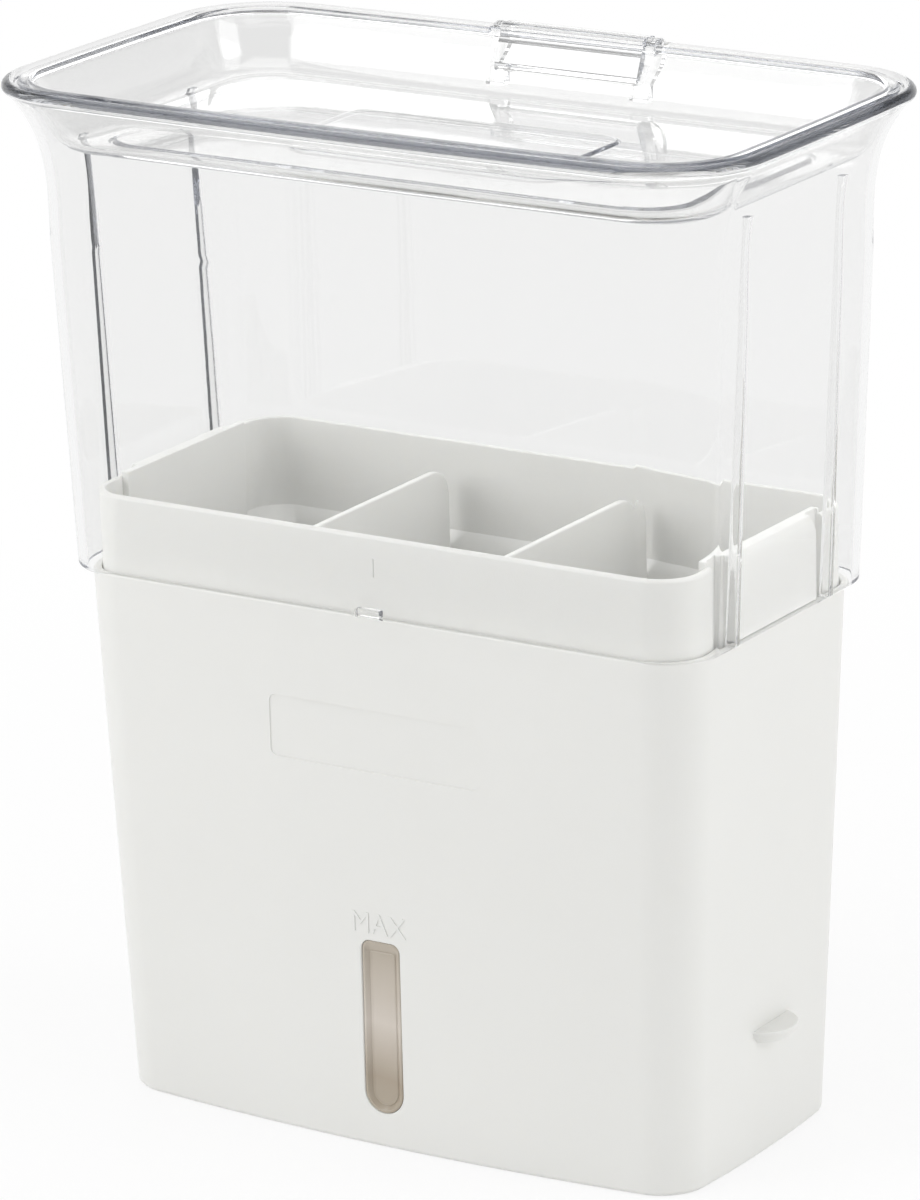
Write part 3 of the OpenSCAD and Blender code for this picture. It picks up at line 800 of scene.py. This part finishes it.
def ribMesh():
    # a guide rib whose round inner edge runs straight up while the wall flares away from it
    neckRise = cover["neck"][0] - cover["skirt"][0]
    heights = [cover["skirt"][0] + 0.05, *rib["steps"], rib["top"]]
    outer = [(coverInner(z)[1] + rib["sunk"], z) for z in heights]
    inner = []
    for z in heights:
        deep = rib["deep"] - rib["taper"] * (z - heights[0]) / (rib["top"] - heights[0])
        wallLine = mixSection(cover["skirt"], cover["neck"], (z - cover["skirt"][0]) / neckRise)
        inner.append((wallLine[1] - cover["wall"] - deep, z))
    bm = prismMesh(outer + inner[::-1], rib["y"] - rib["wide"] / 2, rib["y"] + rib["wide"] / 2, "y")
    innerKeys = {(round(x * 1e3), round(z * 1e3)) for x, z in inner}
    onInner = {v for v in bm.verts if (round(v.co.x / mm * 1e3), round(v.co.z / mm * 1e3)) in innerKeys}
    soft = [e for e in bm.edges if onInner.issuperset(e.verts)
            and abs(e.verts[0].co.z - e.verts[1].co.z) > 1e-5]
    bmesh.ops.bevel(bm, geom=soft, offset=rib["edge"] * mm, affect="EDGES", segments=5, profile=0.5,
                    material=-1)
    return bm


def earMesh(side):
    # a D-shaped ear, round at the back, whose foot runs down the flared wall
    arc = [(ear["y"] + ear["radius"] * cos(a), ear["z"] + ear["radius"] * sin(a))
           for a in arcSteps(20, *ear["arc"])]
    start = hinge["half"] + hinge["gap"]
    stations = sorted((side * start, side * (start + hinge["ear"])))
    return prismMesh(arc + ear["stem"], *stations, "x")


def earFootMesh(side):
    # the small block that an ear stands on, on the inside of the back wall
    outline = [(ear["footFront"], ear["footLow"]), (59.6, ear["footLow"] - 0.4), (59.9, ear["footTop"]),
               (ear["footFront"] + 1, ear["footTop"])]
    stations = sorted((side * ear["footInner"], side * (hinge["half"] + hinge["gap"] + hinge["ear"])))
    return prismMesh(outline, *stations, "x", 0.25, 2)


def rodMesh(half, radius, segments=32):
    bm = bmesh.new()
    bmesh.ops.create_cone(bm, cap_ends=True, segments=segments, radius1=radius * mm, radius2=radius * mm,
                          depth=2 * half * mm)
    bmesh.ops.rotate(bm, verts=bm.verts, matrix=Matrix.Rotation(pi / 2, 3, "Y"))
    bmesh.ops.translate(bm, verts=bm.verts, vec=Vector((0, hinge["y"], hinge["z"])) * mm)
    return bm


def makeCover():
    shell = makeCoverShell()
    half = hinge["half"] + hinge["gap"]
    notch = boxMesh((-half - 0.1, 40, hinge["notchLow"]), (half + 0.1, 80, 300), 0.6, 3)
    shell = shapeWith(shell, [makePiece("notch", notch)], "DIFFERENCE")
    added = fourWays("rib", ribMesh())
    added += [makePiece(f"ear{side}", earMesh(side)) for side in (-1, 1)]
    added += [makePiece(f"earFoot{side}", earFootMesh(side)) for side in (-1, 1)]
    for side in (-1, 1):
        low, high = sorted((side * stop["inner"], side * (cover["skirt"][2] - 1)))
        block = boxMesh((-stop["half"], low, cover["skirt"][0] + 0.05), (stop["half"], high, stop["high"]),
                        stop["edge"], 3)
        added.append(makePiece(f"stop{side}", block))
    shell = shapeWith(shell, added, "UNION")
    bore = rodMesh(pinHalf + 0.3, hinge["pin"] + hinge["play"])
    shell = shapeWith(shell, [makePiece("bore", bore)], "DIFFERENCE")
    return finishPiece(shell, "cover", "clear_plastic", clearPlastic, "clear_cover")


makeCover()
print("cover made")


lid = {"gap": 0.8, "flange": 4, "thick": 2.2, "low": 262, "wall": 2, "round": 6,
       "waist": (268, 101, 53.3, 19.5, 0.4, 0.8), "plate": (85.3, 38.6, 13), "plateHeight": 0.6,
       "groove": 0.6,
       "panel": (40.5, 18.5, 7), "panelHeight": 0.6, "edge": 1.1}
lidRim = cover["rim"]
trayTop = insetSection(lidRim, cover["band"] + lid["gap"] + lid["flange"] - lid["wall"])


def trayAt(height, depth=0):
    share = (height - lid["waist"][0]) / (lidRim[0] - lid["waist"][0])
    return atHeight(insetSection(mixSection(lid["waist"], trayTop, share), depth), height)


def makeLid():
    top, lift = lidRim[0], lidRim[0] - lid["thick"]
    flange = insetSection(lidRim, cover["band"] + lid["gap"])
    mouth = insetSection(flange, lid["flange"])
    wall, low, bend = lid["wall"], lid["low"], lid["round"]
    innerBend, floor = bend - wall, low + wall
    sections = [trayAt(low, bend + 8)]
    sections += [trayAt(low + bend * (1 - cos(a)), bend * (1 - sin(a))) for a in arcSteps(8)]
    sections += [trayAt(z) for z in spread(low + bend, lift - 1, 4)]
    sections += [trayAt(lift - 1), trayAt(lift - 0.3, -0.1), trayAt(lift, -0.5)]
    sections += [atHeight(insetSection(flange, 0.9), lift), atHeight(insetSection(flange, 0.4), lift + 0.2),
                 atHeight(insetSection(flange, 0.1), lift + 0.8)]
    edge = lid["edge"]
    sections += [atHeight(insetSection(flange, edge * (1 - cos(a))), top - edge * (1 - sin(a)))
                 for a in arcSteps(5)]
    sections += [atHeight(insetSection(mouth, -edge * (1 - sin(a))), top - edge * (1 - cos(a)))
                 for a in arcSteps(5)]
    sections += [trayAt(z, wall) for z in spread(top - edge, floor + innerBend, 6)]
    sections += [trayAt(floor + innerBend * (1 - sin(a)), wall + innerBend * (1 - cos(a)))
                 for a in arcSteps(7)]
    sections.append(trayAt(floor, wall + innerBend + 0.5))
    level = floor
    for field, height in [(lid["plate"], lid["plateHeight"]), (lid["panel"], lid["panelHeight"])]:
        halfX, halfY, corner = field
        deep = lid["groove"] if level == floor else lid["groove"] / 2
        for out, rise in [(2.4 * deep + 0.4, 0), (2.4 * deep, 0), (1.6 * deep, -deep), (deep, -deep),
                          (0, height - 0.12), (-0.2, height), (-0.6, height)]:
            sections.append((level + rise, halfX + out, halfY + out, corner, 0, 0))
        level += height
    shell = makePiece("lidTray", loftSections(sections))
    relief = hinge["ear"] + 2 * hinge["gap"] + 0.6
    block = boxMesh((hinge["half"], ear["front"] - 0.6, lift - 2), (hinge["half"] + relief, 75, 290), 0.3, 2)
    shell = shapeWith(shell, [makePiece("reliefRight", block.copy()),
                              makePiece("reliefLeft", mirrored(block))], "DIFFERENCE")
    radius = hinge["radius"]
    arc = [(hinge["y"] + radius * cos(a), hinge["z"] + radius * sin(a)) for a in arcSteps(18, -90, 90)]
    outline = arc + [(59.6, hinge["z"] + radius), (58, top + 0.7), (57.2, top - 3)]
    knuckle = prismMesh(outline + hinge["knuckle"], -hinge["half"], hinge["half"], "x")
    shell = shapeWith(shell, [makePiece("knuckle", knuckle)], "UNION")
    bore = rodMesh(pinHalf + 0.3, hinge["pin"] + hinge["play"])
    shell = shapeWith(shell, [makePiece("bore", bore)], "DIFFERENCE")
    return finishPiece(shell, "lid", "clear_plastic", clearPlastic, "lid_tray")


def makePin():
    bm = rodMesh(pinHalf, hinge["pin"])
    ends = [e for e in bm.edges if e.calc_face_angle(0) > radians(60)]
    bmesh.ops.bevel(bm, geom=ends, offset=hinge["pinEdge"] * mm, affect="EDGES", segments=2, profile=0.5,
                    material=-1)
    piece = makePiece("hingePin", bm)
    return finishPiece(piece, "cover", "clear_plastic", clearPlastic, "hinge_pin")


makeLid()
makePin()
print("lid made")


studio = {"floorSize": 6, "floorTone": 0.9, "floorWhite": 0.82, "fill": 0.5,
          "dimLow": 0.12, "dimHigh": 0.42, "dim": 0.32, "shadowNear": 0.12, "shadowFar": 0.55,
          "aim": 0.14, "bounces": 110}
lamps = [
    {"name": "leftSoftbox", "azimuth": -38, "distance": 1.5, "height": 0.85,
     "size": (1.0, 1.3), "power": 10.5, "mirrored": True},
    {"name": "rightSoftbox", "azimuth": 98, "distance": 1.5, "height": 0.75,
     "size": (0.9, 1.3), "power": 8.6, "mirrored": True},
    {"name": "backSoftbox", "azimuth": 200, "distance": 1.6, "height": 1.0,
     "size": (1.4, 0.8), "power": 6, "mirrored": False},
    {"name": "topSoftbox", "azimuth": 20, "distance": 0.15, "height": 1.7,
     "size": (1.2, 1.2), "power": 6, "mirrored": True},
]


def makeFloor():
    bm = bmesh.new()
    bmesh.ops.create_grid(bm, x_segments=1, y_segments=1, size=studio["floorSize"])
    floor = makePiece("studioFloor", bm)
    material, nodes, links, shader = newMaterial("floorPaper")
    out = nodes["Material Output"]
    shader.inputs["Base Color"].default_value = (studio["floorTone"],) * 3 + (1,)
    shader.inputs["Roughness"].default_value = 0.9
    shader.inputs["Specular IOR Level"].default_value = 0.1
    glow = nodes.new("ShaderNodeEmission")
    path = nodes.new("ShaderNodeLightPath")
    seen = nodes.new("ShaderNodeMath")
    seen.operation = "MAXIMUM"
    seenThrough = nodes.new("ShaderNodeMath")
    seenThrough.operation = "MAXIMUM"
    share = nodes.new("ShaderNodeMath")
    share.operation = "MULTIPLY"
    links.new(path.outputs["Is Camera Ray"], seen.inputs[0])
    links.new(path.outputs["Is Glossy Ray"], seen.inputs[1])
    links.new(seen.outputs[0], seenThrough.inputs[0])
    links.new(path.outputs["Is Transmission Ray"], seenThrough.inputs[1])
    place = nodes.new("ShaderNodeTexCoord")
    reach = nodes.new("ShaderNodeVectorMath")
    reach.operation = "LENGTH"
    far = nodes.new("ShaderNodeMapRange")
    far.inputs["From Min"].default_value = studio["shadowNear"]
    far.inputs["From Max"].default_value = studio["shadowFar"]
    far.inputs["To Min"].default_value = studio["floorWhite"]
    far.inputs["To Max"].default_value = 1
    links.new(place.outputs["Object"], reach.inputs[0])
    links.new(reach.outputs["Value"], far.inputs["Value"])
    links.new(seenThrough.outputs[0], share.inputs[0])
    links.new(far.outputs["Result"], share.inputs[1])
    mix = nodes.new("ShaderNodeMixShader")
    links.new(share.outputs[0], mix.inputs[0])
    links.new(shader.outputs[0], mix.inputs[1])
    links.new(glow.outputs[0], mix.inputs[2])
    links.new(mix.outputs[0], out.inputs["Surface"])
    floor.data.materials.append(material)


def makeWorld():
    world = bpy.data.worlds.new("studioWorld")
    bpy.context.scene.world = world
    world.use_nodes = True
    nodes, links = world.node_tree.nodes, world.node_tree.links
    out = nodes["World Output"]
    fill = nodes["Background"]
    fill.inputs["Color"].default_value = (1, 1, 1, 1)
    fill.inputs["Strength"].default_value = studio["fill"]
    seen = nodes.new("ShaderNodeBackground")
    seen.inputs["Color"].default_value = (1, 1, 1, 1)
    path = nodes.new("ShaderNodeLightPath")
    # white to the camera; gloss and clear plastic find the studio's darker upper part
    place = nodes.new("ShaderNodeTexCoord")
    split = nodes.new("ShaderNodeSeparateXYZ")
    dim = nodes.new("ShaderNodeMapRange")
    dim.interpolation_type = "SMOOTHSTEP"
    dim.inputs["From Min"].default_value = studio["dimLow"]
    dim.inputs["From Max"].default_value = studio["dimHigh"]
    dim.inputs["To Min"].default_value = 1
    dim.inputs["To Max"].default_value = studio["dim"]
    links.new(place.outputs["Generated"], split.inputs[0])
    links.new(split.outputs["Z"], dim.inputs["Value"])
    plain = nodes.new("ShaderNodeMath")
    plain.operation = "MAXIMUM"
    links.new(dim.outputs["Result"], plain.inputs[0])
    links.new(path.outputs["Is Camera Ray"], plain.inputs[1])
    links.new(plain.outputs[0], seen.inputs["Strength"])
    glossy = nodes.new("ShaderNodeMath")
    glossy.operation = "MAXIMUM"
    through = nodes.new("ShaderNodeMath")
    through.operation = "MAXIMUM"
    links.new(path.outputs["Is Camera Ray"], glossy.inputs[0])
    links.new(path.outputs["Is Glossy Ray"], glossy.inputs[1])
    links.new(glossy.outputs[0], through.inputs[0])
    links.new(path.outputs["Is Transmission Ray"], through.inputs[1])
    mix = nodes.new("ShaderNodeMixShader")
    links.new(through.outputs[0], mix.inputs[0])
    links.new(fill.outputs[0], mix.inputs[1])
    links.new(seen.outputs[0], mix.inputs[2])
    links.new(mix.outputs[0], out.inputs["Surface"])


def makeLamps():
    for look in lamps:
        data = bpy.data.lights.new(look["name"], "AREA")
        data.shape = "RECTANGLE"
        data.size, data.size_y = look["size"]
        data.energy = look["power"]
        lamp = bpy.data.objects.new(look["name"], data)
        azimuth = radians(look["azimuth"])
        lamp.location = (sin(azimuth) * look["distance"], -cos(azimuth) * look["distance"], look["height"])
        towards = Vector((0, 0, studio["aim"])) - lamp.location
        lamp.rotation_euler = towards.to_track_quat("-Z", "Y").to_euler()
        # the back lamp would stand as a white sheet in the lid's floor
        lamp.visible_glossy = look["mirrored"]
        bpy.context.scene.collection.objects.link(lamp)


view = {"azimuth": 32.301, "elevation": 17.207, "roll": -1.277, "distance": 1.7882, "target": 0.13943,
        "focal": 6764.7, "centreX": 466.65, "centreY": 599.99, "wide": 920, "high": 1200, "sensor": 36}


def makeCamera():
    azimuth, elevation, roll = (radians(view[k]) for k in ("azimuth", "elevation", "roll"))
    back = Vector((sin(azimuth) * cos(elevation), -cos(azimuth) * cos(elevation), sin(elevation)))
    right = (-back).cross(Vector((0, 0, 1))).normalized()
    up = right.cross(-back)
    turnedRight = right * cos(roll) + up * sin(roll)
    turnedUp = up * cos(roll) - right * sin(roll)
    data = bpy.data.cameras.new("photoCamera")
    data.sensor_width = view["sensor"]
    data.lens = view["focal"] * view["sensor"] / view["high"]
    data.shift_x = (view["wide"] / 2 - view["centreX"]) / view["high"]
    data.shift_y = (view["centreY"] - view["high"] / 2) / view["high"]
    data.clip_end = 30
    camera = bpy.data.objects.new("photoCamera", data)
    camera.matrix_world = Matrix((turnedRight, turnedUp, back)).transposed().to_4x4()
    camera.location = back * view["distance"] + Vector((0, 0, view["target"]))
    bpy.context.scene.collection.objects.link(camera)
    bpy.context.scene.camera = camera


makeFloor()
makeWorld()
makeLamps()
makeCamera()
bpy.context.scene.view_settings.view_transform = "Standard"
# light runs a long way inside clear walls before it leaves them
bpy.context.scene.cycles.max_bounces = studio["bounces"]
bpy.context.scene.cycles.transmission_bounces = studio["bounces"]
bpy.context.scene.cycles.glossy_bounces = studio["bounces"]
print("studio made")
